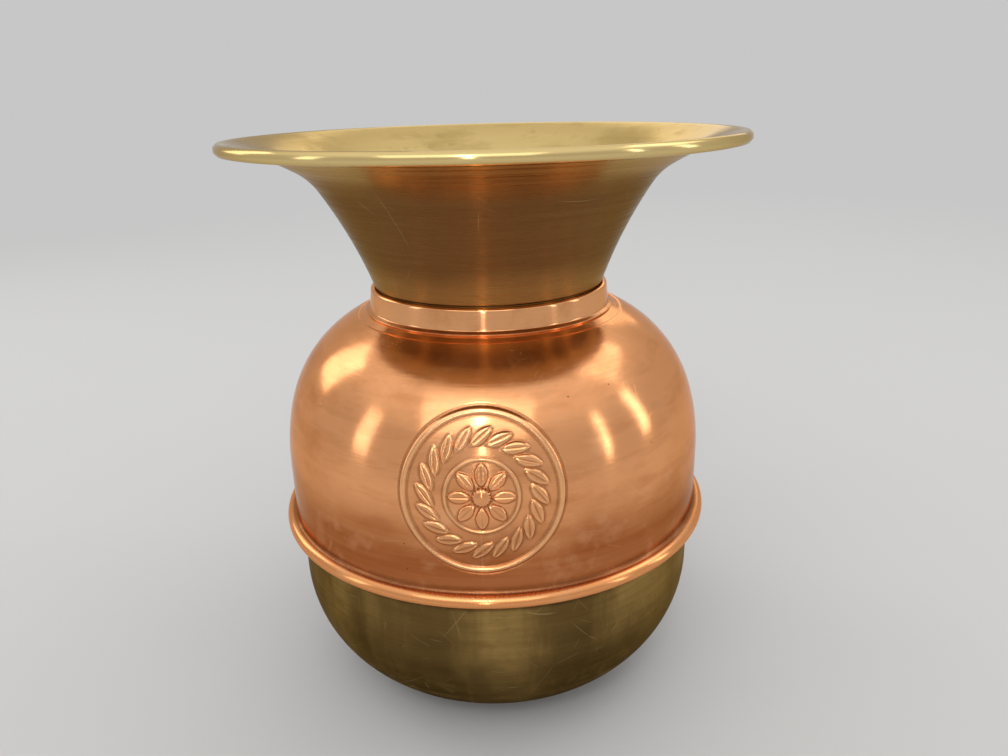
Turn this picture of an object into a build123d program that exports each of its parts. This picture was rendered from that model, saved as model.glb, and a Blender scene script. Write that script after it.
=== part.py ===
"""Spittoon of spun brass and copper sheet, standing upright on its own round-bottomed bowl.

A brass bowl is crimped into the flange of a copper dome. A copper collar is soldered round the
dome's neck, and a brass funnel with a wired rim stands loose in the collar and lifts straight out.
The Z axis is the axis that every sheet was spun on, Z zero is the floor, and the stamped
medallion on the dome faces -Y. Millimetres.
"""

import os
from math import acos, cos, degrees, radians, sin

from build123d import *

# Sheet and wire
brass_sheet = 0.8
copper_sheet = 0.8
rim_wire_radius = 1.5
wire_slack = 0.15

# Base bowl: a flat foot, one round and a short upright wall
foot_radius = 36.0
bowl_round = 57.4
bowl_height = 85.5

# Crimped flange that joins the bowl to the dome
bead_top_radius = 3.0
bead_bottom_radius = 2.4
cove_radius = 1.4
lock_slack = 0.1
lip_side_gap = 1.2
lip_bend_radius = 0.8
hem_gap = 0.3

# Dome: an upright waist, a gentle side arc and a round shoulder
dome_overhang = 2.2
waist_rise = 26.5
side_radius = 90.0
side_turn = 17.3
shoulder_radius = 58.8

# Stamped medallion: a rolled border round a wreath, a ring and a rosette, pressed along Y
medallion_height = 127.0
medallion_radius = 31.2
border_width = 2.4
border_rise = 1.0
wreath_radius = 21.6
wreath_leaves = 20
leaf_length = 11.5
leaf_width = 4.4
leaf_tilt = 38.0
leaf_rise = 0.7
ring_radius = 14.6
ring_width = 1.3
ring_rise = 0.6
petal_count = 8
petal_middle_radius = 8.4
petal_length = 9.4
petal_width = 5.0
petal_rise = 0.9
button_radius = 3.4
button_rise = 1.6

# Seat and neck that carry the collar: a small joggle in the sheet, then the seat and the neck
joggle_turn = 38.0
joggle_outer_radius = 1.6
joggle_inner_radius = 0.8
neck_radius = 52.2
neck_height = 5.5
neck_bend_radius = 1.0
seat_width = 8.13

# Collar: a leaning band with an out-turned foot and an in-turned mouth
collar_foot = 2.4
collar_lean = 0.9
collar_height = 8.6
collar_foot_bend = 1.6
collar_top_bend = 0.5
collar_mouth_overlap = 1.1
solder_film = 0.05
collar_slack = 0.1

# Funnel: spigot, stop jog, throat, bend and brim
spigot_gap = 0.6
spigot_depth = 12.0
seam_gap = 0.4
jog_width = 0.7
jog_height = 0.45
throat_lean = 19.0
throat_flare = 20.5
throat_rise = 42.2
bend_flare = 8.8
bend_rise = 8.4
brim_flare = 27.2
brim_rise = 11.6
rim_wrap = 285.0

# Sizes that follow from the ones above
bowl_radius = foot_radius + bowl_round
dome_radius = bowl_radius + dome_overhang
flange_radius = dome_radius + cove_radius + bead_top_radius
flange_crest = bowl_height + lock_slack + copper_sheet
bead_height = bead_top_radius + bead_bottom_radius
bead_bottom = flange_crest - bead_height
waist_height = flange_crest + waist_rise
side_end_radius = dome_radius - side_radius * (1 - cos(radians(side_turn)))
shoulder_run = side_end_radius - neck_radius - seat_width
shoulder_turn = degrees(acos(cos(radians(side_turn)) - shoulder_run / shoulder_radius)) - side_turn

os.makedirs("parts", exist_ok=True)


def save(part, name):
    """Label one finished piece and write it to its own file"""
    part.label = name
    export_step(part, f"parts/{name}.step")


def spin_sheet(sheet, side):
    """Turn the open line drawn so far into a strip of sheet"""
    offset(amount=sheet, side=side)


# Base bowl, with its top edge turned out and down to hook into the dome's flange
lip_radius = flange_radius - copper_sheet - lip_side_gap
lip_height = bead_height - 2 * (copper_sheet + lock_slack)

with BuildPart() as base_bowl:
    with BuildSketch(Plane.XZ):
        with BuildLine():
            FilletPolyline(
                (0, 0),
                (bowl_radius, 0),
                (bowl_radius, bowl_height - brass_sheet),
                (lip_radius - brass_sheet, bowl_height - brass_sheet),
                (lip_radius - brass_sheet, bowl_height - lip_height),
                radius=[bowl_round, lip_bend_radius, lip_bend_radius],
            )
            spin_sheet(brass_sheet, Side.LEFT)
        make_face()
    revolve(axis=Axis.Z)
save(base_bowl.part, "base_bowl")


def dome_flank(start, inset):
    """Draw the dome's waist, side and shoulder up from a point, set in from the outside"""
    waist = Line(start, (dome_radius - inset, waist_height))
    side = JernArc(waist @ 1, waist % 1, side_radius - inset, side_turn)
    return JernArc(side @ 1, side % 1, shoulder_radius - inset, shoulder_turn)


def dome_sheet(inset):
    """Draw one face of the dome's sheet, and return its hem, seat and neck"""
    hem = Line(
        (bowl_radius + hem_gap, bead_bottom + inset),
        (flange_radius - bead_bottom_radius, bead_bottom + inset),
    )
    bead_under = JernArc(hem @ 1, (1, 0), bead_bottom_radius - inset, 90)
    bead_over = JernArc(bead_under @ 1, (0, 1), bead_top_radius - inset, 90)
    cove = JernArc(bead_over @ 1, (-1, 0), cove_radius + inset, -90)
    shoulder = dome_flank(cove @ 1, inset)
    step_in = JernArc(shoulder @ 1, shoulder % 1, joggle_outer_radius - inset, joggle_turn)
    step_out = JernArc(step_in @ 1, step_in % 1, joggle_inner_radius + inset, -joggle_turn)
    lean = step_out % 1
    bend_radius = neck_bend_radius + inset
    bend_run = bend_radius * (1 - lean.Y)
    seat_run = (step_out @ 1).X - bend_run - (neck_radius - inset)
    seat = Line(step_out @ 1, step_out @ 1 - lean * (seat_run / lean.X))
    bend = JernArc(seat @ 1, lean, bend_radius, -lean.get_angle(Vector(0, 1)))
    neck = Line(bend @ 1, bend @ 1 + Vector(0, neck_height))
    return hem, seat, neck


# Medallion ornament, raised out of the dome's sheet
medallion_plane = Plane(
    origin=(0, -dome_radius / 2, medallion_height), x_dir=(1, 0, 0), z_dir=(0, -1, 0)
)


def relief(outline, rise):
    """Raise one outline of the ornament above the dome, rooted in the middle of its sheet"""
    root = copper_sheet / 2
    with BuildPart() as raised:
        extrude(outline, amount=dome_radius)
        with BuildSketch(Plane.XZ):
            with BuildLine():
                foot_inner = (dome_radius - root, flange_crest)
                foot_outer = (dome_radius + rise, flange_crest)
                Line(foot_inner, foot_outer)
                Line(dome_flank(foot_inner, root) @ 1, dome_flank(foot_outer, -rise) @ 1)
            make_face()
        revolve(axis=Axis.Z, mode=Mode.INTERSECT)
    return raised.part


with BuildSketch(medallion_plane) as border:
    Circle(medallion_radius)
    Circle(medallion_radius - border_width, mode=Mode.SUBTRACT)

with BuildSketch() as leaf:
    with BuildLine():
        SagittaArc((0, -leaf_length / 2), (0, leaf_length / 2), leaf_width / 2)
        SagittaArc((0, leaf_length / 2), (0, -leaf_length / 2), leaf_width / 2)
    make_face()

with BuildSketch(medallion_plane) as wreath:
    with PolarLocations(wreath_radius, wreath_leaves):
        add(leaf.sketch, rotation=leaf_tilt)

with BuildSketch(medallion_plane) as ring:
    Circle(ring_radius)
    Circle(ring_radius - ring_width, mode=Mode.SUBTRACT)

with BuildSketch(medallion_plane) as rosette:
    with PolarLocations(petal_middle_radius, petal_count):
        Ellipse(petal_length / 2, petal_width / 2)

with BuildSketch(medallion_plane) as button:
    Circle(button_radius)


ornament = [
    relief(border.sketch, border_rise),
    relief(ring.sketch, ring_rise),
    relief(button.sketch, button_rise),
    relief(rosette.sketch, petal_rise),
    relief(wreath.sketch, leaf_rise),
]

# Copper dome, from the hem under the bowl's lip up to the neck
with BuildPart() as copper_dome:
    with BuildSketch(Plane.XZ):
        with BuildLine():
            hem, seat, neck = dome_sheet(0)
            inner_hem, inner_seat, inner_neck = dome_sheet(copper_sheet)
            Line(hem @ 0, inner_hem @ 0)
            Line(neck @ 1, inner_neck @ 1)
        make_face()
    revolve(axis=Axis.Z)
    for raised in ornament:
        add(raised)
save(copper_dome.part, "copper_dome")


# Neck collar, soldered by its foot to the dome's seat
def seat_height(radius):
    """Height of the dome's seat, under the collar's foot, at a radius"""
    slope = (seat % 1).Y / (seat % 1).X
    return (seat @ 1).Y + (radius - (seat @ 1).X) * slope + solder_film


collar_top_radius = neck_radius + collar_slack
collar_base_radius = collar_top_radius + collar_lean
collar_foot_radius = collar_base_radius + collar_foot
collar_under = seat_height(collar_base_radius) + collar_height
collar_mouth_radius = collar_top_radius - collar_mouth_overlap

with BuildPart() as neck_collar:
    with BuildSketch(Plane.XZ):
        with BuildLine():
            FilletPolyline(
                (collar_foot_radius, seat_height(collar_foot_radius)),
                (collar_base_radius, seat_height(collar_base_radius)),
                (collar_top_radius, collar_under),
                (collar_mouth_radius, collar_under),
                radius=[collar_foot_bend, collar_top_bend],
            )
            spin_sheet(copper_sheet, Side.RIGHT)
        make_face()
    revolve(axis=Axis.Z)
save(neck_collar.part, "neck_collar")


# Mouth funnel, with its brim rolled over a wire
collar_top = collar_under + copper_sheet
spigot_radius = collar_mouth_radius - spigot_gap
throat_base = Vector(spigot_radius + jog_width, collar_top + seam_gap + jog_height)
roll_radius = rim_wire_radius + wire_slack

with BuildPart() as mouth_funnel:
    with BuildSketch(Plane.XZ):
        with BuildLine():
            Polyline(
                (spigot_radius, collar_top - spigot_depth),
                (spigot_radius, collar_top + seam_gap),
                throat_base,
            )
            throat = TangentArc(
                throat_base,
                throat_base + Vector(throat_flare, throat_rise),
                tangent=(sin(radians(throat_lean)), cos(radians(throat_lean))),
            )
            bend = TangentArc(
                throat @ 1, throat @ 1 + Vector(bend_flare, bend_rise), tangent=throat % 1
            )
            brim = TangentArc(
                bend @ 1, bend @ 1 + Vector(brim_flare, brim_rise), tangent=bend % 1
            )
            spin_sheet(brass_sheet, Side.LEFT)
        make_face()
        with BuildLine():
            across = Vector(-(brim % 1).Y, (brim % 1).X)
            roll_inner = JernArc(brim @ 1, brim % 1, roll_radius, -rim_wrap)
            roll_outer = JernArc(
                brim @ 1 + across * brass_sheet, brim % 1, roll_radius + brass_sheet, -rim_wrap
            )
            Line(roll_inner @ 0, roll_outer @ 0)
            Line(roll_inner @ 1, roll_outer @ 1)
        make_face()
    revolve(axis=Axis.Z)
save(mouth_funnel.part, "mouth_funnel")


# Steel wire that the brim is rolled over
wire_centre = brim @ 1 - across * roll_radius

with BuildPart() as rim_wire:
    with BuildSketch(Plane.XZ):
        with Locations(wire_centre):
            Circle(rim_wire_radius)
    revolve(axis=Axis.Z)
save(rim_wire.part, "rim_wire")

print(f"height {mouth_funnel.part.bounding_box().max.Z:.2f}")
print(f"mouth radius {mouth_funnel.part.bounding_box().max.X:.2f}")
print(f"seam height {collar_top:.2f}, neck top {(neck @ 1).Y:.2f}")
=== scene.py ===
"""Looks of the brass and copper spittoon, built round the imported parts. Lengths are in metres."""
from math import acos, atan2, ceil, cos, degrees, hypot, pi, radians, sin, sqrt, tan

import bmesh
import bpy
from mathutils import Matrix, Vector


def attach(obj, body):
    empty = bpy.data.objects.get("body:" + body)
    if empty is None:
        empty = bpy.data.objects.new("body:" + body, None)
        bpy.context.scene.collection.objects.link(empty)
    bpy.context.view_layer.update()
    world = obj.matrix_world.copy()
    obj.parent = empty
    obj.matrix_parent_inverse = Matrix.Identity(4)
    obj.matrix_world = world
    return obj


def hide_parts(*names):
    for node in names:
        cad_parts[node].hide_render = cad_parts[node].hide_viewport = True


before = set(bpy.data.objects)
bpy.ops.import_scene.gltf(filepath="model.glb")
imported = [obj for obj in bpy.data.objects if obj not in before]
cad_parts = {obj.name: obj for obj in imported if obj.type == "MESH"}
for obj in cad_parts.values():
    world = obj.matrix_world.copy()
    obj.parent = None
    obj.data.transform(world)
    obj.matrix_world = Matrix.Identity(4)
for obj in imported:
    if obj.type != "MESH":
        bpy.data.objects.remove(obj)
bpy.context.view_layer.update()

mm = 0.001

# Base bowl. Spun from brass sheet, with a small flat to stand on. Its top edge is turned out and
# down, and the dome's flange is rolled round it. It is hardly ever polished, so it has gone dull
# and olive, with old handling scratches and white polish left in the joint above it. Painted
# shade darkens it towards the bottom and in a line just under the dome's bead.
brass_sheet = 0.8 * mm
foot_radius = 36 * mm
bowl_round = 57.4 * mm
bowl_height = 85.5 * mm
bowl_radius = foot_radius + bowl_round
lip_reach = 4.6 * mm
lip_drop = 3.6 * mm
lip_bend = 0.8 * mm
bowl_stride = 2 * mm
bowl_spokes = 288
cut_ease = 0.15 * mm


def trace(start, heading, moves, step):
    """Stations (radius, height, heading) along one face of a sheet, by runs, bends and reaches"""
    radius, height = start
    line = [(radius, height, heading)]
    for kind, *sizes in moves:
        if kind == "run":
            length, turn, bend = sizes[0], 0, 0
        elif kind == "bend":
            bend, turn = sizes
            length = bend * abs(radians(turn))
        else:
            chord = Vector(sizes) - Vector((radius, height))
            half_turn = atan2(chord.y, chord.x) - radians(heading)
            turn = degrees(2 * half_turn)
            bend = chord.length / (2 * abs(sin(half_turn)))
            length = bend * abs(2 * half_turn)
        fewest = 6 if turn else 1
        count = max(fewest, ceil(length / step))
        stride = 2 * bend * sin(abs(radians(turn)) / count / 2) if turn else length / count
        for _ in range(count):
            heading += turn / count / 2
            radius += stride * cos(radians(heading))
            height += stride * sin(radians(heading))
            heading += turn / count / 2
            line.append((radius, height, heading))
    return line


def sheet_section(line, thickness):
    """The line and its copy a sheet's thickness to its left, as one closed section"""
    near = [(r, z) for r, z, _ in line]
    far = [(r - thickness * sin(radians(h)), z + thickness * cos(radians(h))) for r, z, h in line]
    return near + far[::-1]


def turn_round(shell, geom, middle, axis, spokes):
    """Spin a line a sixteenth of the way round, then double that wedge until it closes"""
    doublings = 4
    angle = 2 * pi / 2 ** doublings
    bmesh.ops.spin(
        shell, geom=geom, cent=middle, axis=axis,
        angle=angle, steps=spokes // 2 ** doublings, use_merge=False,
    )
    for _ in range(doublings):
        wedge = shell.verts[:] + shell.edges[:] + shell.faces[:]
        copy = bmesh.ops.duplicate(shell, geom=wedge)["geom"]
        moved = [part for part in copy if isinstance(part, bmesh.types.BMVert)]
        turn = Matrix.Rotation(angle, 3, axis)
        bmesh.ops.rotate(shell, verts=moved, cent=middle, matrix=turn)
        angle *= 2
    weld_reach = 0.001 * mm
    bmesh.ops.remove_doubles(shell, verts=shell.verts, dist=weld_reach)
    bmesh.ops.recalc_face_normals(shell, faces=shell.faces)


def spin_section(section, spokes):
    """Spin a section round the Z axis into a closed shell"""
    shell = bmesh.new()
    corners = [shell.verts.new((r, 0, z)) for r, z in section]
    edges = [shell.edges.new(pair) for pair in zip(corners, corners[1:])]
    if section[0][0] > 0:
        edges.append(shell.edges.new((corners[-1], corners[0])))
    turn_round(shell, corners + edges, Vector(), Vector((0, 0, 1)), spokes)
    return shell


def ease_edges(shell, ease):
    """Take the sharpness off the cut edges of the sheet"""
    sharp_turn = radians(60)
    whole = [e for e in shell.edges if len(e.link_faces) == 2]
    sharp = [e for e in whole if e.calc_face_angle() > sharp_turn]
    bmesh.ops.bevel(
        shell, geom=sharp, offset=ease, segments=2, profile=0.5, affect="EDGES", material=-1
    )


def finish_piece(shell, name, node, body, material):
    """Turn the worked mesh into the piece that stands for a node"""
    mesh = bpy.data.meshes.new(name)
    shell.to_mesh(mesh)
    shell.free()
    mesh.materials.append(material)
    mesh.polygons.foreach_set("use_smooth", [True] * len(mesh.polygons))
    piece = bpy.data.objects.new(name, mesh)
    bpy.context.scene.collection.objects.link(piece)
    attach(piece, body)
    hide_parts(node)
    return piece


def place(tree, kind, wires, **options):
    """Place a shader node with its options, and give each input a value or a wire"""
    node = tree.nodes.new(kind)
    for name, value in options.items():
        setattr(node, name, value)
    for name, value in wires.items():
        if isinstance(value, bpy.types.NodeSocket):
            tree.links.new(value, node.inputs[name])
        else:
            node.inputs[name].default_value = value
    return node


def work_out(tree, operation, *values):
    """One sum, with its result's socket"""
    return place(tree, "ShaderNodeMath", dict(enumerate(values)), operation=operation).outputs[0]


def spread(tree, value, low, high, to_low=0.0, to_high=1.0):
    """Stretch a value from one range to another, with soft ends"""
    wires = {
        "Value": value, "From Min": low, "From Max": high, "To Min": to_low, "To Max": to_high
    }
    return place(tree, "ShaderNodeMapRange", wires, interpolation_type="SMOOTHSTEP").outputs[0]


def vector_sum(tree, operation, *values, result="Vector"):
    """One sum with vectors, with its result's socket"""
    wires = dict(enumerate(values))
    return place(tree, "ShaderNodeVectorMath", wires, operation=operation).outputs[result]


def open_effect(name, inputs, outputs):
    """Open a shader group with number sockets, and return its tree and both ends"""
    tree = bpy.data.node_groups.new(name, "ShaderNodeTree")
    for label, value in inputs.items():
        socket = tree.interface.new_socket(label, in_out="INPUT", socket_type="NodeSocketFloat")
        socket.default_value = value
    for label in outputs:
        tree.interface.new_socket(label, in_out="OUTPUT", socket_type="NodeSocketFloat")
    given = tree.nodes.new("NodeGroupInput").outputs
    result = tree.nodes.new("NodeGroupOutput").inputs
    return tree, given, result


def object_place(tree):
    """The socket with the place on the object"""
    return tree.nodes.new("ShaderNodeTexCoord").outputs["Object"]


def from_axis(tree, spot):
    """The part of a place that points straight out from the Z axis"""
    return place(tree, "ShaderNodeCombineXYZ", {"X": spot["X"], "Y": spot["Y"]}).outputs[0]


def spun_lines_effect():
    """Circular tool marks: fine lines and broad bands that run round the Z axis"""
    inputs = {"Pitch": 0.4 * mm, "Wander": 0.6}
    tree, given, result = open_effect("Spun Lines", inputs, ("Lines", "Bands"))
    spot = place(tree, "ShaderNodeSeparateXYZ", {0: object_place(tree)}).outputs
    flat = from_axis(tree, spot)
    radius = vector_sum(tree, "LENGTH", flat, result="Value")
    around = vector_sum(tree, "NORMALIZE", flat)
    band_width = 14.0
    for label, width in (("Lines", 1.0), ("Bands", band_width)):
        pitch = work_out(tree, "MULTIPLY", given["Pitch"], width)
        wires = {0: around, "Scale": given["Wander"]}
        drift = place(tree, "ShaderNodeVectorMath", wires, operation="SCALE").outputs[0]
        out = work_out(tree, "DIVIDE", radius, pitch)
        lift = place(tree, "ShaderNodeCombineXYZ", {"Z": out}).outputs[0]
        seat = vector_sum(tree, "ADD", drift, lift)
        up = work_out(tree, "DIVIDE", spot["Z"], pitch)
        wires = {"Vector": seat, "W": up, "Scale": 1.0, "Detail": 3.0, "Roughness": 0.65}
        grain = place(tree, "ShaderNodeTexNoise", wires, noise_dimensions="4D").outputs[0]
        tree.links.new(spread(tree, grain, low=0.3, high=0.7), result[label])
    return tree


def blotches_effect():
    """Soft-edged stains, drawn out round the piece by wiping"""
    inputs = {"Size": 30 * mm, "Lie": 2.0, "Low": 0.45, "High": 0.65, "Seed": 0.0}
    tree, given, result = open_effect("Tarnish Blotches", inputs, ("Mask",))
    scale = work_out(tree, "DIVIDE", 1.0, given["Size"])
    tall = work_out(tree, "MULTIPLY", scale, given["Lie"])
    sizes = place(tree, "ShaderNodeCombineXYZ", {"X": scale, "Y": scale, "Z": tall}).outputs[0]
    seat = vector_sum(tree, "MULTIPLY", object_place(tree), sizes)
    wires = {"Vector": seat, "W": given["Seed"], "Scale": 1.0, "Detail": 6.0, "Roughness": 0.6}
    cloud = place(tree, "ShaderNodeTexNoise", wires, noise_dimensions="4D").outputs[0]
    tree.links.new(spread(tree, cloud, given["Low"], given["High"]), result["Mask"])
    return tree


def scratches_effect():
    """Straight scratches, one to a cell, each with its own direction"""
    inputs = {"Size": 18 * mm, "Width": 0.1 * mm, "Share": 0.4}
    tree, given, result = open_effect("Hairline Scratches", inputs, ("Mask",))
    spot = object_place(tree)
    wires = {"Vector": spot, "Scale": work_out(tree, "DIVIDE", 1.0, given["Size"])}
    cells = place(tree, "ShaderNodeTexVoronoi", wires, feature="F1").outputs
    away = vector_sum(tree, "SUBTRACT", spot, cells["Position"])
    middle_grey = (0.5, 0.5, 0.5)
    lie = vector_sum(tree, "SUBTRACT", cells["Color"], middle_grey)
    lie = vector_sum(tree, "NORMALIZE", lie)
    off = vector_sum(tree, "DOT_PRODUCT", away, lie, result="Value")
    line = spread(tree, work_out(tree, "ABSOLUTE", off), low=given["Width"], high=0.0)
    ends = spread(tree, cells["Distance"], low=0.6, high=0.2)
    luck = place(tree, "ShaderNodeTexWhiteNoise", {"Vector": cells["Color"]}).outputs["Value"]
    kept = work_out(tree, "LESS_THAN", luck, given["Share"])
    drawn = work_out(tree, "MULTIPLY", line, ends)
    tree.links.new(work_out(tree, "MULTIPLY", drawn, kept), result["Mask"])
    return tree


def specks_effect():
    """Small scattered pits and spots"""
    inputs = {"Size": 5 * mm, "Spot": 0.12, "Share": 0.2}
    tree, given, result = open_effect("Specks", inputs, ("Mask",))
    scale = work_out(tree, "DIVIDE", 1.0, given["Size"])
    wires = {"Vector": object_place(tree), "Scale": scale, "Randomness": 1.0}
    cells = place(tree, "ShaderNodeTexVoronoi", wires, feature="F1").outputs
    luck = place(tree, "ShaderNodeSeparateColor", {0: cells["Color"]}).outputs
    reach = work_out(tree, "MULTIPLY", given["Spot"], luck["Green"])
    spot = spread(tree, cells["Distance"], reach, work_out(tree, "MULTIPLY", reach, 0.5))
    kept = work_out(tree, "LESS_THAN", luck["Red"], given["Share"])
    tree.links.new(work_out(tree, "MULTIPLY", spot, kept), result["Mask"])
    return tree


def band_effect():
    """A band round the piece at one height, ragged at its edges"""
    inputs = {"Height": 0.0, "Reach": 5 * mm, "Soft": 1.0, "Grain": 2 * mm, "Ragged": 0.6}
    tree, given, result = open_effect("Joint Band", inputs, ("Mask",))
    spot = object_place(tree)
    level = place(tree, "ShaderNodeSeparateXYZ", {0: spot}).outputs["Z"]
    away = work_out(tree, "ABSOLUTE", work_out(tree, "SUBTRACT", level, given["Height"]))
    share = work_out(tree, "DIVIDE", away, given["Reach"])
    scale = work_out(tree, "DIVIDE", 1.0, given["Grain"])
    wires = {"Vector": spot, "Scale": scale, "Detail": 4.0}
    grain = place(tree, "ShaderNodeTexNoise", wires).outputs[0]
    rough = work_out(tree, "MULTIPLY", work_out(tree, "SUBTRACT", grain, 0.5), given["Ragged"])
    near = work_out(tree, "ADD", share, work_out(tree, "MULTIPLY", rough, 2.0))
    full = work_out(tree, "SUBTRACT", 1.0, given["Soft"])
    tree.links.new(spread(tree, near, low=1.0, high=full), result["Mask"])
    return tree


def outer_side_effect():
    """One on faces that look away from the Z axis, none on those that look towards it"""
    tree, given, result = open_effect("Outer Side", {"Soft": 0.25}, ("Mask",))
    spot = place(tree, "ShaderNodeSeparateXYZ", {0: object_place(tree)}).outputs
    away = vector_sum(tree, "NORMALIZE", from_axis(tree, spot))
    facing = tree.nodes.new("ShaderNodeTexCoord").outputs["Normal"]
    lean = vector_sum(tree, "DOT_PRODUCT", facing, away, result="Value")
    inward = work_out(tree, "MULTIPLY", given["Soft"], -1.0)
    tree.links.new(spread(tree, lean, low=inward, high=given["Soft"]), result["Mask"])
    return tree


def rubbed_effect():
    """What stands out past a radius, where hands and cloths rub it"""
    tree, given, result = open_effect("Rubbed Edge", {"Radius": 0.1, "Soft": 1 * mm}, ("Mask",))
    spot = place(tree, "ShaderNodeSeparateXYZ", {0: object_place(tree)}).outputs
    radius = vector_sum(tree, "LENGTH", from_axis(tree, spot), result="Value")
    full = work_out(tree, "ADD", given["Radius"], given["Soft"])
    tree.links.new(spread(tree, radius, low=given["Radius"], high=full), result["Mask"])
    return tree


def dust_effect():
    """Fine dry dust that settles on what faces up"""
    inputs = {"Grain": 0.7 * mm, "Share": 0.5}
    tree, given, result = open_effect("Settled Dust", inputs, ("Mask",))
    spot = object_place(tree)
    facing = tree.nodes.new("ShaderNodeTexCoord").outputs["Normal"]
    rise = place(tree, "ShaderNodeSeparateXYZ", {0: facing}).outputs["Z"]
    up = spread(tree, rise, low=0.1, high=0.95)
    scale = work_out(tree, "DIVIDE", 1.0, given["Grain"])
    wires = {"Vector": spot, "Scale": scale, "Detail": 3.0}
    grain = place(tree, "ShaderNodeTexNoise", wires).outputs[0]
    edge = work_out(tree, "SUBTRACT", 1.0, given["Share"])
    fine = spread(tree, grain, low=edge, high=work_out(tree, "ADD", edge, 0.15))
    wires = {"Vector": spot, "Scale": 40.0, "Detail": 3.0}
    cloud = place(tree, "ShaderNodeTexNoise", wires).outputs[0]
    drift = work_out(tree, "MULTIPLY", fine, spread(tree, cloud, low=0.35, high=0.65))
    tree.links.new(work_out(tree, "MULTIPLY", up, drift), result["Mask"])
    return tree


spun_lines = spun_lines_effect()
blotches = blotches_effect()
scratches = scratches_effect()
specks = specks_effect()
joint_band = band_effect()
outer_side = outer_side_effect()
rubbed = rubbed_effect()
dust = dust_effect()


def effect(shader, group, output, **values):
    """Place a group beside a shader with its own values, and return one of its masks"""
    node = place(shader.id_data, "ShaderNodeGroup", {}, node_tree=group)
    for name, value in values.items():
        node.inputs[name].default_value = value
    return node.outputs[output]


def lay_over(shader, mask, amount, **finish):
    """Lay another colour, roughness or metal over the shader's own where the mask is one"""
    tree = shader.id_data
    share = work_out(tree, "MULTIPLY", mask, amount)
    kinds = {
        "colour": ("Base Color", "RGBA", "Color"),
        "rough": ("Roughness", "FLOAT", "Float"),
        "metal": ("Metallic", "FLOAT", "Float"),
    }
    for word, value in finish.items():
        socket, kind, ending = kinds[word]
        mix = place(tree, "ShaderNodeMix", {"Factor": share}, data_type=kind)
        ports = {s.identifier: s for s in mix.inputs}
        under, over = ports[f"A_{ending}"], ports[f"B_{ending}"]
        target = shader.inputs[socket]
        if target.is_linked:
            tree.links.new(target.links[0].from_socket, under)
        else:
            under.default_value = target.default_value
        over.default_value = (*value, 1) if kind == "RGBA" else value
        result = next(s for s in mix.outputs if s.identifier == f"Result_{ending}")
        tree.links.new(result, target)


def emboss(shader, height, depth):
    """Raise the surface by a height map, over what the shader has so far"""
    tree = shader.id_data
    bump = place(tree, "ShaderNodeBump", {"Height": height, "Distance": depth, "Strength": 1.0})
    target = shader.inputs["Normal"]
    if target.is_linked:
        tree.links.new(target.links[0].from_socket, bump.inputs["Normal"])
    tree.links.new(bump.outputs[0], target)


def scratch(shader, width, depth, colour, kinds):
    """Cut in scratches of several kinds, each with its cell size, share of cells and strength"""
    for size, share, amount in kinds:
        hairs = effect(shader, scratches, "Mask", Size=size, Width=width, Share=share)
        lay_over(shader, hairs, amount, colour=colour, rough=0.3)
        emboss(shader, hairs, -depth)


def bare_metal(name, colour, edge, rough, brushed):
    """A metal shader with its own grazing colour, and highlights drawn out across its lines"""
    material = bpy.data.materials.new(name)
    material.use_nodes = True
    tree = material.node_tree
    shader = tree.nodes["Principled BSDF"]
    shader.inputs["Base Color"].default_value = (*colour, 1)
    shader.inputs["Specular Tint"].default_value = (*edge, 1)
    shader.inputs["Metallic"].default_value = 1
    shader.inputs["Roughness"].default_value = rough
    shader.inputs["Anisotropic"].default_value = brushed
    quarter_turn = 0.25
    shader.inputs["Anisotropic Rotation"].default_value = quarter_turn
    around = place(tree, "ShaderNodeTangent", {}, direction_type="RADIAL", axis="Z").outputs[0]
    tree.links.new(around, shader.inputs["Tangent"])
    return material, shader


bowl_material, shader = bare_metal(
    "bowl_brass", colour=(0.38, 0.24, 0.078), edge=(0.62, 0.53, 0.42), rough=0.24, brushed=0.88
)
lines = effect(shader, spun_lines, "Lines", Pitch=0.5 * mm)
bands = effect(shader, spun_lines, "Bands", Pitch=0.5 * mm)
stains = effect(shader, blotches, "Mask", Size=48 * mm, Lie=0.2, Low=0.42, High=0.58, Seed=12.0)
fine_stains = effect(shader, blotches, "Mask", Size=9 * mm, Lie=1.6, Low=0.5, High=0.7, Seed=2.0)
lay_over(shader, stains, 0.8, colour=(0.12, 0.07, 0.022), rough=0.28)
lay_over(shader, fine_stains, 0.45, colour=(0.18, 0.105, 0.033), rough=0.32)
# Painted shade: the bowl is darkened towards its bottom.
low = effect(
    shader, joint_band, "Mask", Height=0.0, Reach=78 * mm, Soft=0.7, Grain=30 * mm, Ragged=0.35
)
lay_over(shader, low, 0.92, colour=(0.032, 0.019, 0.0065), rough=0.34)
drips = effect(shader, blotches, "Mask", Size=5 * mm, Lie=0.3, Low=0.5, High=0.62, Seed=11.0)
damp = effect(
    shader, joint_band, "Mask", Height=30 * mm, Reach=16 * mm, Soft=0.8, Grain=20 * mm, Ragged=0.5
)
dripped = work_out(shader.id_data, "MULTIPLY", drips, damp)
lay_over(shader, dripped, 0.4, colour=(0.20, 0.125, 0.042), rough=0.36)
lay_over(shader, bands, 0.13, colour=(0.38, 0.24, 0.08), rough=0.3)
streaks = effect(shader, spun_lines, "Lines", Pitch=2.2 * mm, Wander=2.0)
lay_over(shader, streaks, 0.3, colour=(0.13, 0.075, 0.023), rough=0.36)
lay_over(shader, lines, 0.5, rough=0.75)
scratch(
    shader, width=0.13 * mm, depth=0.01 * mm, colour=(0.62, 0.47, 0.22),
    kinds=((6 * mm, 0.3, 0.3), (13 * mm, 0.35, 0.35), (30 * mm, 0.6, 0.45)),
)
pits = effect(shader, specks, "Mask", Size=5 * mm, Spot=0.13, Share=0.22)
lay_over(shader, pits, 0.8, colour=(0.05, 0.03, 0.015), rough=0.7)
crumbs = effect(shader, specks, "Mask", Size=7 * mm, Spot=0.07, Share=0.25)
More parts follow.
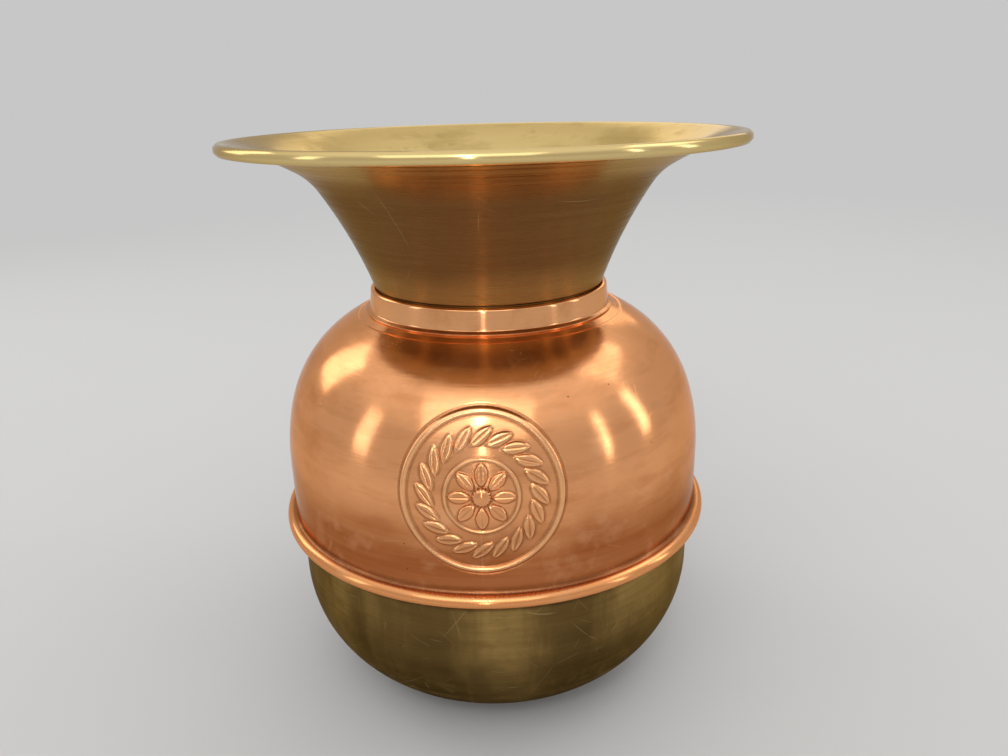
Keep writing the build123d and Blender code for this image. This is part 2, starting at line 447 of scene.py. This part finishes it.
lay_over(shader, crumbs, 0.8, colour=(0.75, 0.72, 0.62), rough=0.8, metal=0.0)
# Painted shade: a dark line round the bowl right under the dome's bead.
shade_under_bead = effect(
    shader, joint_band, "Mask",
    Height=80 * mm, Reach=4.5 * mm, Soft=0.6, Grain=8 * mm, Ragged=0.25,
)
lay_over(shader, shade_under_bead, 0.85, colour=(0.045, 0.022, 0.008), rough=0.4)
polish = effect(
    shader, joint_band, "Mask",
    Height=78.6 * mm, Reach=1.8 * mm, Soft=0.8, Grain=3 * mm, Ragged=1.6,
)
missed = effect(shader, blotches, "Mask", Size=30 * mm, Lie=1.0, Low=0.5, High=0.6, Seed=10.0)
left_polish = work_out(shader.id_data, "MULTIPLY", polish, missed)
lay_over(shader, left_polish, 0.5, colour=(0.44, 0.38, 0.28), rough=0.8, metal=0.0)
emboss(shader, lines, 0.004 * mm)
emboss(shader, bands, 0.02 * mm)

bowl_line = trace(
    (0, 0), 0,
    [
        ("run", foot_radius),
        ("bend", bowl_round, 90),
        ("run", bowl_height - brass_sheet - bowl_round - lip_bend),
        ("bend", lip_bend, -90),
        ("run", lip_reach - brass_sheet - 2 * lip_bend),
        ("bend", lip_bend, -90),
        ("run", lip_drop - brass_sheet - lip_bend),
    ],
    bowl_stride,
)
bowl_shell = spin_section(sheet_section(bowl_line, brass_sheet), bowl_spokes)
ease_edges(bowl_shell, cut_ease)
finish_piece(bowl_shell, "bowl", "base_bowl", "vessel", bowl_material)

# Copper dome. Spun from copper sheet, with a hollow bead rolled round the bowl's lip at its
# foot and a small step and seat under the collar. The medallion on its front is stamped out of
# the same sheet. It is polished, but tarnish stays in the corners that a cloth doesn't reach, and
# painted shade darkens those corners, its lower part, its cove and the bead's underside, with a
# painted highlight on the relief's crests and a painted reflection of the collar round its seat.
copper_sheet = 0.8 * mm
dome_overhang = 2.2 * mm
dome_radius = bowl_radius + dome_overhang
hem_gap = 0.3 * mm
flange_rise = 0.9 * mm
waist_rise = 26.5 * mm
bead_top_radius = 3.0 * mm
bead_bottom_radius = 2.4 * mm
cove_radius = 1.4 * mm
flange_radius = dome_radius + cove_radius + bead_top_radius
flange_crest = bowl_height + flange_rise
waist_height = flange_crest + waist_rise
side_radius = 90 * mm
side_turn = 17.3
shoulder_radius = 58.8 * mm
neck_radius = 52.2 * mm
neck_height = 5.5 * mm
seat_width = 8.13 * mm
joggle_turn = 38
joggle_outer = 1.6 * mm
joggle_inner = 0.8 * mm
neck_bend = 1.0 * mm
dome_stride = 2 * mm
dome_spokes = 256
side_end = Vector((
    dome_radius - side_radius * (1 - cos(radians(side_turn))),
    waist_height + side_radius * sin(radians(side_turn)),
))
shoulder_run = side_end.x - neck_radius - seat_width
seat_lean = 90 - degrees(acos(cos(radians(side_turn)) - shoulder_run / shoulder_radius))
shoulder_turn = 90 - seat_lean - side_turn
joggle_run = (joggle_outer + joggle_inner) * (
    sin(radians(seat_lean)) - sin(radians(seat_lean - joggle_turn))
)
neck_bend_run = neck_bend * (1 - sin(radians(seat_lean)))
seat_length = (seat_width - joggle_run - neck_bend_run) / cos(radians(seat_lean))

dome_line = trace(
    (bowl_radius + hem_gap, flange_crest - bead_top_radius - bead_bottom_radius), 0,
    [
        ("run", flange_radius - bead_bottom_radius - bowl_radius - hem_gap),
        ("bend", bead_bottom_radius, 90),
        ("bend", bead_top_radius, 90),
        ("bend", cove_radius, -90),
        ("run", waist_height - flange_crest - cove_radius),
        ("bend", side_radius, side_turn),
        ("bend", shoulder_radius, shoulder_turn),
        ("bend", joggle_outer, joggle_turn),
        ("bend", joggle_inner, -joggle_turn),
        ("run", seat_length),
        ("bend", neck_bend, seat_lean - 90),
        ("run", neck_height),
    ],
    dome_stride,
)

medallion_height = 127 * mm
medallion_radius = 31.2 * mm
border_width = 2.4 * mm
border_rise = 1.0 * mm
wreath_radius = 21.6 * mm
wreath_leaves = 20
leaf_length = 11.5 * mm
leaf_width = 4.4 * mm
leaf_tilt = 38
leaf_rise = 0.75 * mm
ring_radius = 14.6 * mm
ring_width = 1.3 * mm
ring_rise = 0.6 * mm
petal_count = 8
petal_middle = 8.4 * mm
petal_length = 9.4 * mm
petal_width = 5.0 * mm
petal_rise = 0.95 * mm
button_radius = 3.4 * mm
button_rise = 1.6 * mm
groove_width = 1.0 * mm
groove_depth = 0.25 * mm
disc_radius = 34 * mm
disc_rings = 100
disc_spokes = 400
hole_radius = 36.5 * mm


def dome_face(height):
    """Radius of the dome's outside at a height, and how far it leans back there"""
    if height < waist_height:
        return dome_radius, 0
    if height < side_end.y:
        lean = (height - waist_height) / side_radius
        return dome_radius - side_radius * (1 - sqrt(1 - lean * lean)), lean
    middle = side_end.y - shoulder_radius * sin(radians(side_turn))
    lean = (height - middle) / shoulder_radius
    drop = cos(radians(side_turn)) - sqrt(1 - lean * lean)
    return side_end.x - shoulder_radius * drop, lean


def bead_height(radius, middle, width, rise):
    """Height of a half-round bead that follows a circle"""
    share = 2 * (radius - middle) / width
    return rise * sqrt(max(0, 1 - share * share))


def leaf_height(along, across, length, width, rise, crease):
    """Height of a pointed leaf with a crown and a crease down its middle"""
    half = width / 2 * (1 - (2 * along / length) ** 2)
    if half <= 0 or abs(across) >= half:
        return 0
    share = abs(across) / half
    tip_ease = min(1, half / width * 4)
    crown = sqrt(1 - share ** 4) * tip_ease
    crease_width = 0.12 * width
    return rise * crown * (1 - crease * max(0, 1 - abs(across) / crease_width))


def medallion_relief(right, up):
    """Height of the stamped ornament at a place from the medallion's middle"""
    radius = hypot(right, up)
    angle = atan2(up, right)
    height = bead_height(radius, medallion_radius - border_width / 2, border_width, border_rise)
    height = max(height, bead_height(radius, ring_radius - ring_width / 2, ring_width, ring_rise))
    if radius < button_radius:
        fall = (radius / button_radius) ** 2 * 0.8
        return max(height, button_rise * sqrt(1 - fall))
    for count, middle, length, width, rise, tilt, crease in (
        (wreath_leaves, wreath_radius, leaf_length, leaf_width, leaf_rise, 90 + leaf_tilt, 0.45),
        (petal_count, petal_middle, petal_length, petal_width, petal_rise, 0, 0.3),
    ):
        nearest = round(angle / (2 * pi) * count)
        for turn in (nearest - 1, nearest, nearest + 1):
            off = angle - turn * 2 * pi / count
            out, side = radius * cos(off) - middle, radius * sin(off)
            lie = radians(tilt)
            along = out * cos(lie) + side * sin(lie)
            across = side * cos(lie) - out * sin(lie)
            height = max(height, leaf_height(along, across, length, width, rise, crease))
    groove = medallion_radius + groove_width / 2
    if abs(radius - groove) < groove_width / 2:
        height -= bead_height(radius, groove, groove_width, groove_depth)
    return height


def press_medallion(shell):
    """Cut a hole in the spun grid and fill it with a fine disc with the ornament pressed in"""
    middle = Vector((0, 0, medallion_height))
    doomed = []
    for face in shell.faces:
        centre = face.calc_center_median()
        if centre.y > 0 or hypot(centre.x, centre.z - medallion_height) > hole_radius:
            continue
        if hypot(centre.x, centre.y) > dome_face(centre.z)[0] - copper_sheet / 2:
            doomed.append(face)
    bmesh.ops.delete(shell, geom=doomed, context="FACES")
    disc = bmesh.new()
    places = [Vector((disc_radius * i / disc_rings, 0, 0)) for i in range(disc_rings + 1)]
    spoke = [disc.verts.new(middle + out) for out in places]
    edges = [disc.edges.new(pair) for pair in zip(spoke, spoke[1:])]
    turn_round(disc, spoke + edges, middle, Vector((0, 1, 0)), disc_spokes)
    disc.verts.index_update()
    heights = [medallion_relief(v.co.x, v.co.z - medallion_height) for v in disc.verts]
    near = [[e.other_vert(v).index for e in v.link_edges] for v in disc.verts]
    smooth = heights
    smooth_rounds = 8
    for _ in range(smooth_rounds):
        smooth = [sum(smooth[i] for i in group) / len(group) for group in near]
    for mesh in (disc, shell):
        mesh.verts.layers.float.new("relief_edge")
    edge_layer = disc.verts.layers.float["relief_edge"]
    full_edge = 0.2 * mm
    for vert, height, level in zip(disc.verts, heights, smooth):
        radius, lean = dome_face(vert.co.z)
        outward = Vector((vert.co.x / radius, -sqrt(1 - (vert.co.x / radius) ** 2), 0))
        vert.co.y = outward.y * radius
        slope = sqrt(1 - lean * lean)
        vert.co += (outward * slope + Vector((0, 0, lean))) * height
        vert[edge_layer] = (height - level) / full_edge
    pressed = bpy.data.meshes.new("medallion")
    disc.to_mesh(pressed)
    disc.free()
    shell.from_mesh(pressed)
    bpy.data.meshes.remove(pressed)
    loose = [e for e in shell.edges if len(e.link_faces) == 1]
    bmesh.ops.bridge_loops(shell, edges=loose)
    bmesh.ops.recalc_face_normals(shell, faces=shell.faces)


dome_material, shader = bare_metal(
    "dome_copper", colour=(0.92, 0.41, 0.175), edge=(0.90, 0.70, 0.55), rough=0.13, brushed=0.7
)
lines = effect(shader, spun_lines, "Lines", Pitch=0.35 * mm)
bands = effect(shader, spun_lines, "Bands", Pitch=0.35 * mm)
stains = effect(shader, blotches, "Mask", Size=55 * mm, Lie=2.4, Low=0.45, High=0.7, Seed=3.0)
lay_over(shader, stains, 0.65, colour=(0.58, 0.20, 0.06), rough=0.17)
drawn = effect(shader, blotches, "Mask", Size=38 * mm, Lie=4.5, Low=0.5, High=0.62, Seed=6.0)
lay_over(shader, drawn, 0.22, colour=(0.52, 0.19, 0.06), rough=0.2)
# Painted shade: the dome is darkened towards its foot.
low = effect(
    shader, joint_band, "Mask",
    Height=88 * mm, Reach=38 * mm, Soft=0.8, Grain=30 * mm, Ragged=0.35,
)
lay_over(shader, low, 0.9, colour=(0.37, 0.095, 0.021), rough=0.17)
# Painted shade: a dark line in the cove between the dome's side and its bead.
cove_shade = effect(shader, joint_band, "Mask", Height=87 * mm, Reach=3 * mm, Grain=6 * mm, Ragged=0.5)
lay_over(shader, cove_shade, 0.7, colour=(0.20, 0.06, 0.018), rough=0.4)
worn = effect(shader, rubbed, "Mask", Radius=96.8 * mm, Soft=1.4 * mm)
lay_over(shader, worn, 0.9, colour=(0.90, 0.375, 0.135), rough=0.16)
# Painted reflection of the collar: a slightly darker band round the step and seat under it.
under = effect(
    shader, joint_band, "Mask", Height=176 * mm, Reach=6 * mm, Grain=8 * mm, Ragged=0.4
)
lay_over(shader, under, 0.15, colour=(0.44, 0.18, 0.07), rough=0.3)
# Painted shade: a dark band on the underside of the bead.
bead_underside_shade = effect(
    shader, joint_band, "Mask", Height=80 * mm, Reach=2.4 * mm, Soft=0.6, Grain=6 * mm, Ragged=0.2
)
lay_over(shader, bead_underside_shade, 0.9, colour=(0.11, 0.038, 0.012), rough=0.4)
relief_edge = place(
    shader.id_data, "ShaderNodeAttribute", {}, attribute_name="relief_edge"
).outputs["Fac"]
# Tarnish in the recesses round the relief, and painted shade there too.
corners = spread(shader.id_data, relief_edge, low=-0.05, high=-0.6)
lay_over(shader, corners, 0.7, colour=(0.34, 0.12, 0.04), rough=0.3)
# Wear on the relief's raised edges, and a painted highlight along them.
worn_crests_and_highlight = spread(shader.id_data, relief_edge, low=0.2, high=1.0)
lay_over(shader, worn_crests_and_highlight, 0.7, colour=(0.96, 0.52, 0.25), rough=0.1)
smudges = effect(shader, blotches, "Mask", Size=16 * mm, Lie=1.0, Low=0.52, High=0.66, Seed=4.0)
lay_over(shader, smudges, 0.22, colour=(0.93, 0.50, 0.28), rough=0.3)
lay_over(shader, bands, 0.2, colour=(0.94, 0.46, 0.21), rough=0.1)
lay_over(shader, lines, 0.22, rough=0.45)
haze = effect(shader, dust, "Mask", Grain=0.8 * mm, Share=0.52)
lay_over(shader, haze, 0.22, colour=(0.66, 0.44, 0.31), rough=0.55)
scratch(
    shader, width=0.12 * mm, depth=0.008 * mm, colour=(0.96, 0.60, 0.36),
    kinds=((11 * mm, 0.3, 0.25), (30 * mm, 0.3, 0.4)),
)
pits = effect(shader, specks, "Mask", Size=8 * mm, Spot=0.08, Share=0.25)
lay_over(shader, pits, 0.9, colour=(0.12, 0.05, 0.03), rough=0.6)
emboss(shader, lines, 0.002 * mm)
emboss(shader, bands, 0.015 * mm)

dome_shell = spin_section(sheet_section(dome_line, copper_sheet), dome_spokes)
press_medallion(dome_shell)
ease_edges(dome_shell, cut_ease)
finish_piece(dome_shell, "dome", "copper_dome", "vessel", dome_material)

# Neck collar. A strip of copper rolled and spun into a leaning band, with its foot turned out
# and soldered to the dome's seat, and its mouth turned in to guide the funnel. It is the
# brightest copper on the vessel, because a hand rests there.
collar_slack = 0.1 * mm
collar_radius = neck_radius + collar_slack
collar_lean = 0.9 * mm
collar_height = 8.6 * mm
collar_foot = 2.4 * mm
collar_foot_bend = 1.6 * mm
collar_top_bend = 0.5 * mm
collar_mouth = 1.1 * mm
collar_stride = 0.6 * mm
collar_spokes = 288
solder_film = 0.05 * mm
seat_end = next(s for s in dome_line[::-1] if s[0] > neck_radius + neck_bend)
seat_rise = tan(radians(seat_lean))
collar_base = Vector((collar_radius + collar_lean, 0))
collar_base.y = seat_end[1] + (seat_end[0] - collar_base.x) * seat_rise + solder_film
band_lean = degrees(atan2(collar_lean, collar_height))
foot_turn = 90 - seat_lean - band_lean
foot_tangent = collar_foot_bend * tan(radians(foot_turn) / 2)
top_tangent = collar_top_bend * tan(radians(90 - band_lean) / 2)
band_length = hypot(collar_lean, collar_height)
collar_line = trace(
    (collar_base.x + collar_foot, collar_base.y - collar_foot * seat_rise), 180 - seat_lean,
    [
        ("run", collar_foot / cos(radians(seat_lean)) - foot_tangent),
        ("bend", collar_foot_bend, -foot_turn),
        ("run", band_length - foot_tangent - top_tangent),
        ("bend", collar_top_bend, 90 - band_lean),
        ("run", collar_mouth - top_tangent),
    ],
    collar_stride,
)
collar_top = collar_base.y + collar_height + copper_sheet

collar_material, shader = bare_metal(
    "collar_copper", colour=(0.90, 0.43, 0.19), edge=(0.90, 0.70, 0.55), rough=0.1, brushed=0.7
)
lines = effect(shader, spun_lines, "Lines", Pitch=0.3 * mm)
stains = effect(shader, blotches, "Mask", Size=20 * mm, Lie=1.0, Low=0.5, High=0.7, Seed=5.0)
lay_over(shader, stains, 0.6, colour=(0.58, 0.22, 0.08), rough=0.2)
foot = effect(shader, joint_band, "Mask", Height=collar_base.y, Reach=1.2 * mm, Grain=3 * mm)
lay_over(shader, foot, 0.45, colour=(0.40, 0.20, 0.10), rough=0.4)
lay_over(shader, lines, 0.3, rough=0.3)
hairs = effect(shader, scratches, "Mask", Size=9 * mm, Width=0.1 * mm, Share=0.35)
lay_over(shader, hairs, 0.3, colour=(0.97, 0.62, 0.38), rough=0.3)
emboss(shader, lines, 0.002 * mm)

collar_shell = spin_section(sheet_section(collar_line, -copper_sheet), collar_spokes)
ease_edges(collar_shell, cut_ease)
finish_piece(collar_shell, "collar", "neck_collar", "vessel", collar_material)

# Mouth funnel. Spun from brass sheet and loose in the collar: a short spigot goes down inside
# the neck, a jog in the sheet stops on the collar, and the brim is rolled over a steel wire. Its
# rim and inside are bright from handling, and the throat outside has toned to brown, with
# painted shade darkening the throat further.
spigot_gap = 0.6 * mm
spigot_radius = collar_radius - collar_mouth - spigot_gap
spigot_depth = 12 * mm
seam_gap = 0.4 * mm
jog = Vector((0.7 * mm, 0.45 * mm))
jog_bend = 0.4 * mm
throat_bend = 0.9 * mm
throat_lean = 19
throat_reach = Vector((20.5 * mm, 42.2 * mm))
bend_reach = Vector((8.8 * mm, 8.4 * mm))
brim_reach = Vector((27.2 * mm, 11.6 * mm))
rim_wire_radius = 1.5 * mm
wire_slack = 0.15 * mm
roll_radius = rim_wire_radius + wire_slack
rim_wrap = 285
funnel_stride = 1.2 * mm
funnel_spokes = 320
brim_ease = 0.12 * mm
jog_heading = degrees(atan2(jog.y, jog.x))
jog_tangent = jog_bend * tan(radians(90 - jog_heading) / 2)
throat_tangent = throat_bend * tan(radians(90 - throat_lean - jog_heading) / 2)
throat_foot = Vector((spigot_radius, collar_top + seam_gap)) + jog
throat_end = throat_foot + throat_reach
bend_end = throat_end + bend_reach
brim_end = bend_end + brim_reach
funnel_line = trace(
    (spigot_radius, collar_top - spigot_depth), 90,
    [
        ("run", spigot_depth + seam_gap - jog_tangent),
        ("bend", jog_bend, jog_heading - 90),
        ("run", jog.length - jog_tangent - throat_tangent),
        ("bend", throat_bend, 90 - throat_lean - jog_heading),
        ("reach", *throat_end),
        ("reach", *bend_end),
        ("reach", *brim_end),
        ("bend", roll_radius, -rim_wrap),
    ],
    funnel_stride,
)

funnel_material, shader = bare_metal(
    "funnel_brass", colour=(0.68, 0.50, 0.21), edge=(0.70, 0.61, 0.49), rough=0.14, brushed=0.88
)
lines = effect(shader, spun_lines, "Lines", Pitch=0.4 * mm)
bands = effect(shader, spun_lines, "Bands", Pitch=0.4 * mm)
stains = effect(shader, blotches, "Mask", Size=40 * mm, Lie=2.0, Low=0.45, High=0.65, Seed=7.0)
lay_over(shader, stains, 0.6, colour=(0.42, 0.29, 0.10), rough=0.19)
spots = effect(shader, blotches, "Mask", Size=10 * mm, Lie=1.0, Low=0.55, High=0.68, Seed=8.0)
lay_over(shader, spots, 0.4, colour=(0.38, 0.26, 0.10), rough=0.28)
lay_over(shader, bands, 0.25, colour=(0.74, 0.56, 0.25), rough=0.12)
outside = effect(shader, outer_side, "Mask", Soft=0.2)
throat = effect(
    shader, joint_band, "Mask",
    Height=217 * mm, Reach=27 * mm, Soft=0.55, Grain=60 * mm, Ragged=0.25,
)
lip = effect(
    shader, joint_band, "Mask",
    Height=252 * mm, Reach=16 * mm, Soft=0.5, Grain=60 * mm, Ragged=0.15,
)
lay_over(shader, outside, 0.9, colour=(0.37, 0.19, 0.055), rough=0.2)
brushed = work_out(shader.id_data, "MULTIPLY", outside, lines)
# Toning on the throat outside, darkened further as painted shade.
toned_and_shaded_throat = work_out(shader.id_data, "MULTIPLY", outside, throat)
lay_over(shader, toned_and_shaded_throat, 0.92, colour=(0.185, 0.087, 0.029), rough=0.2)
clear = work_out(shader.id_data, "MULTIPLY", outside, lip)
lay_over(shader, clear, 0.8, colour=(0.62, 0.40, 0.14), rough=0.15)
streaks = effect(shader, spun_lines, "Lines", Pitch=1.6 * mm, Wander=1.6)
streaked = work_out(shader.id_data, "MULTIPLY", outside, streaks)
lay_over(shader, streaked, 0.3, colour=(0.27, 0.14, 0.045), rough=0.26)
lay_over(shader, brushed, 0.42, rough=0.8)
worn = effect(shader, rubbed, "Mask", Radius=104 * mm, Soft=4 * mm)
lay_over(shader, worn, 0.8, colour=(0.80, 0.62, 0.28), rough=0.12)
lay_over(shader, lines, 0.3, rough=0.3)
scratch(
    shader, width=0.12 * mm, depth=0.008 * mm, colour=(0.90, 0.74, 0.42),
    kinds=((10 * mm, 0.3, 0.2), (30 * mm, 0.3, 0.35)),
)
pits = effect(shader, specks, "Mask", Size=9 * mm, Spot=0.06, Share=0.2)
lay_over(shader, pits, 0.8, colour=(0.10, 0.07, 0.03), rough=0.6)
emboss(shader, lines, 0.003 * mm)
emboss(shader, bands, 0.015 * mm)

funnel_shell = spin_section(sheet_section(funnel_line, brass_sheet), funnel_spokes)
ease_edges(funnel_shell, brim_ease)
finish_piece(funnel_shell, "funnel", "mouth_funnel", "funnel", funnel_material)

# Rim wire. A ring of drawn steel wire that the brim is rolled over, hidden inside the roll. It
# keeps the brim round and stiff, and a little rust shows on it.
wire_material, shader = bare_metal(
    "wire_steel", colour=(0.42, 0.40, 0.38), edge=(0.9, 0.9, 0.9), rough=0.35, brushed=0.0
)
rust = effect(shader, blotches, "Mask", Size=8 * mm, Lie=1.0, Low=0.5, High=0.6, Seed=9.0)
lay_over(shader, rust, 0.8, colour=(0.22, 0.09, 0.04), rough=0.8, metal=0.2)
rim_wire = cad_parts["rim_wire"]
rim_wire.data.materials.clear()
rim_wire.data.materials.append(wire_material)

# Floor. A plain pale paper sheet that runs on past the picture on every side, and pales into the
# surround with distance, so that no horizon shows behind the object.
surround_level = 0.57
floor_radius = 12
fade_start = 0.5
fade_end = 2.2
floor_shell = bmesh.new()
bmesh.ops.create_circle(floor_shell, cap_ends=True, segments=96, radius=floor_radius)
floor_mesh = bpy.data.meshes.new("floor")
floor_shell.to_mesh(floor_mesh)
floor_shell.free()
floor_material = bpy.data.materials.new("floor_paper")
floor_material.use_nodes = True
sheet = floor_material.node_tree
paper = sheet.nodes["Principled BSDF"]
paper.inputs["Base Color"].default_value = (0.60, 0.597, 0.59, 1)
paper.inputs["Roughness"].default_value = 0.9
paper.inputs["Specular IOR Level"].default_value = 0.2
glow = place(sheet, "ShaderNodeEmission", {"Color": (1, 1, 1, 1), "Strength": surround_level})
reach = vector_sum(sheet, "LENGTH", object_place(sheet), result="Value")
far = spread(sheet, reach, low=fade_start, high=fade_end)
mix = place(sheet, "ShaderNodeMixShader", {0: far, 1: paper.outputs[0], 2: glow.outputs[0]})
sheet.links.new(mix.outputs[0], sheet.nodes["Material Output"].inputs["Surface"])
floor_mesh.materials.append(floor_material)
floor = bpy.data.objects.new("floor", floor_mesh)
bpy.context.scene.collection.objects.link(floor)

# Studio light: broad soft boxes all round over the object, slim upright ones that draw bright
# lines down the metal, a small one over the camera, and an even pale surround. Each stands at a
# bearing from the front and a rise over the floor, and its level is its own brightness.
lamp_aim = Vector((0, 0, 0.13))
for name, bearing, rise, distance, width, height, level in (
    ("over_front", -8, 44, 1.5, 1.5, 0.8, 1.05),
    ("front_strip", -3, 12, 3.0, 0.10, 1.3, 8.0),
    ("far_left", -118, 26, 1.5, 0.5, 0.7, 1.7),
    ("slim_left", -70, 15, 3.0, 0.5, 1.5, 1.5),
    ("slim_right", 91, 15, 3.0, 0.35, 1.5, 2.2),
    ("slim_near_right", 64, 14, 3.0, 0.22, 1.5, 2.6),
    ("over_right", 110, 48, 1.6, 0.8, 0.6, 1.2),
    ("behind", 170, 24, 2.4, 1.6, 0.8, 1.0),
    ("over_camera", -5, 42, 1.1, 0.09, 0.09, 20),
):
    lamp = bpy.data.lights.new(name, "AREA")
    lamp.shape = "RECTANGLE"
    lamp.size = width
    lamp.size_y = height
    lamp.energy = level * pi * width * height
    soft_box = bpy.data.objects.new(name, lamp)
    away = Vector((
        sin(radians(bearing)) * cos(radians(rise)),
        -cos(radians(bearing)) * cos(radians(rise)),
        sin(radians(rise)),
    ))
    facing = away.to_track_quat("Z", "Y").to_matrix().to_4x4()
    soft_box.matrix_world = Matrix.Translation(lamp_aim + away * distance) @ facing
    soft_box.visible_camera = False
    bpy.context.scene.collection.objects.link(soft_box)

world = bpy.data.worlds.new("studio")
world.use_nodes = True
bpy.context.scene.world = world
sky = world.node_tree
gaze = sky.nodes.new("ShaderNodeTexCoord").outputs["Generated"]
upward = place(sky, "ShaderNodeSeparateXYZ", {0: gaze}).outputs["Z"]
overhead_level = 0.95
sky_level = spread(
    sky, upward, low=0.3, high=0.8, to_low=surround_level, to_high=overhead_level
)
sky.links.new(sky_level, sky.nodes["Background"].inputs["Strength"])
sky.nodes["Background"].inputs["Color"].default_value = (1, 1, 1, 1)

# Camera. It stands where the photograph was taken from, found from the round edges in it.
photo_width = 1008
focal_pixels = 801.4
camera_distance = 357.9 * mm
camera_height = 267.8 * mm
camera_bearing = 3.1
camera_yaw = 0.93
camera_pitch = 19.67
camera_roll = -1.47
lens = bpy.data.cameras.new("camera")
lens.sensor_width = 36
lens.lens = focal_pixels * lens.sensor_width / photo_width
lens.clip_start = 0.01
lens.clip_end = 50
camera = bpy.data.objects.new("camera", lens)
bpy.context.scene.collection.objects.link(camera)
stand = Vector((
    camera_distance * sin(radians(camera_bearing)),
    -camera_distance * cos(radians(camera_bearing)),
    camera_height,
))
camera.matrix_world = (
    Matrix.Translation(stand)
    @ Matrix.Rotation(radians(camera_bearing - camera_yaw), 4, "Z")
    @ Matrix.Rotation(radians(90 - camera_pitch), 4, "X")
    @ Matrix.Rotation(radians(camera_roll), 4, "Z")
)
bpy.context.scene.camera = camera
bpy.context.scene.view_settings.view_transform = "Standard"
